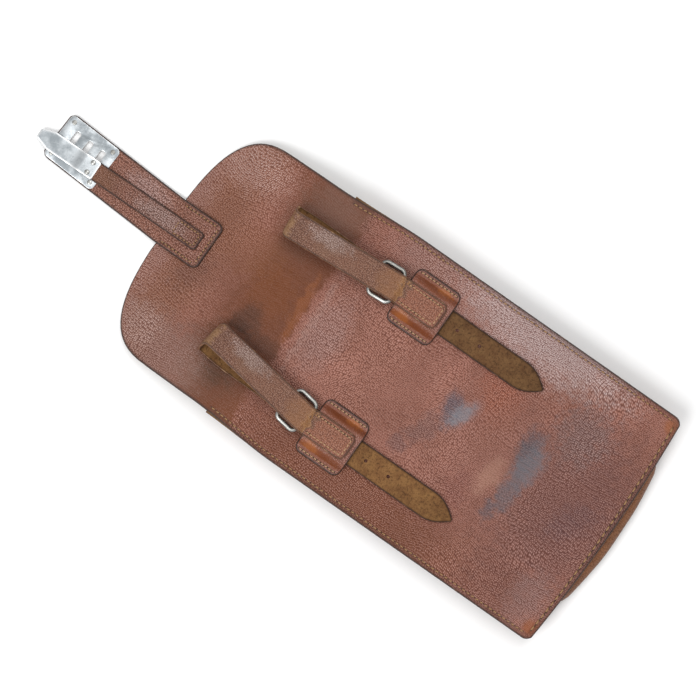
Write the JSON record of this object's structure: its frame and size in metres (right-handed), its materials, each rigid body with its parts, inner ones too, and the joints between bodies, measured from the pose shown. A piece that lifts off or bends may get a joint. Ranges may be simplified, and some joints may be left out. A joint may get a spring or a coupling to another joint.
{
  "type": "flight bag",
  "caption": "Long flat leather document pouch with an open flap, a slotted hasp and tongue closure, and two buckled strap loops on its back.",
  "frame": {"origin": "under the middle of the whole laid-out length and width, on the surface that the bag lies on", "axes": "+X to the right seen from the back, +Y from the bottom seam towards the flap and hasp, +Z out of the back panel"},
  "size_m": [0.214, 0.566, 0.0394],
  "materials": {
    "leather": "pebbled grain, reddish brown, worn to a soft sheen",
    "leather_tan": "smooth, orange brown, worn glossy",
    "leather_dark": "smooth, creased, dark brown",
    "suede": "flesh side, matt olive brown",
    "thread": "waxed linen thread",
    "steel": "dull nickel-plated steel"
  },
  "bodies": {
    "pouch": {"back_panel": "leather", "gusset": "leather_tan", "back_thread": "thread", "keeper_left": "leather_tan", "keeper_right": "leather_tan", "keeper_thread_left": "thread", "keeper_thread_right": "thread", "strap_anchor_left": "leather", "strap_anchor_right": "leather", "anchor_thread_left": "thread", "anchor_thread_right": "thread", "chape_left": "leather_dark", "chape_right": "leather_dark", "strap_run_left": "suede", "strap_run_right": "suede", "strap_bend_left": "leather_tan", "strap_bend_right": "leather_tan"},
    "front": {"front_panel": "leather", "front_thread": "thread", "staple_patch": "leather_dark", "staple_plate": "steel", "staple": "steel", "staple_rivets": "steel"},
    "bridge": {"flap_bridge": "leather_dark"},
    "flap": {"flap": "leather", "closure_base": "leather", "closure_thread": "thread", "tongue_base": "leather", "tongue_thread": "thread", "closure_bend": "leather"},
    "closure": {"closure_strap": "leather", "hasp_plate": "steel", "hasp_rivets": "steel", "hasp_burrs": "steel", "tongue_run": "leather", "tongue_bend": "leather"},
    "tongue": {"tongue_strap": "leather", "tongue_plate": "steel", "tongue_rivets": "steel"},
    "loop_left": {"loop_strap_left": "leather", "buckle_frame_left": "steel", "buckle_prong_left": "steel"},
    "loop_right": {"loop_strap_right": "leather", "buckle_frame_right": "steel", "buckle_prong_right": "steel"},
    "tail_left": {"strap_tail_left": "suede"},
    "tail_right": {"strap_tail_right": "suede"}
  },
  "joints": [
    {"name": "mouth_open", "type": "hinge", "parent": "pouch", "child": "front", "pos_m": [0, -0.271, 0.0024], "axis": [1, 0, 0], "range_deg": [-4, 0]},
    {"name": "flap_fold", "type": "hinge", "parent": "pouch", "child": "bridge", "pos_m": [0, 0.0443, 0.0236], "axis": [-1, 0, 0], "range_deg": [0, 82.8]},
    {"name": "flap_turn", "type": "hinge", "parent": "bridge", "child": "flap", "pos_m": [0, 0.06814, 0.02079], "axis": [-1, 0, 0], "range_deg": [-2, 92]},
    {"name": "closure_swing", "type": "hinge", "parent": "flap", "child": "closure", "pos_m": [0.0037, 0.15734, 0.00305], "axis": [1, 0, 0], "range_deg": [-60, 45], "deforming": ["closure_bend"]},
    {"name": "tongue_lift", "type": "hinge", "parent": "closure", "child": "tongue", "pos_m": [0.00269, 0.16834, 0.00405], "axis": [1, 0.0096, 0], "range_deg": [0, 90], "deforming": ["tongue_bend"]},
    {"name": "loop_lift_left", "type": "hinge", "parent": "pouch", "child": "loop_left", "pos_m": [-0.063, -0.0243, 0.032], "axis": [0.9885, -0.1513, 0], "range_deg": [0, 85], "deforming": ["strap_bend_left"]},
    {"name": "loop_lift_right", "type": "hinge", "parent": "pouch", "child": "loop_right", "pos_m": [0.063, -0.0243, 0.032], "axis": [0.9977, 0.068, 0], "range_deg": [0, 85], "deforming": ["strap_bend_right"]},
    {"name": "tail_lift_left", "type": "hinge", "parent": "pouch", "child": "tail_left", "pos_m": [-0.063, -0.07235, 0.0283], "axis": [-1, 0, 0], "range_deg": [0, 75]},
    {"name": "tail_lift_right", "type": "hinge", "parent": "pouch", "child": "tail_right", "pos_m": [0.063, -0.07235, 0.0283], "axis": [-1, 0, 0], "range_deg": [0, 75]}
  ],
  "couplings": [
    {"joint": "flap_turn", "follows": "flap_fold", "ratio": 1.0421}
  ]
}
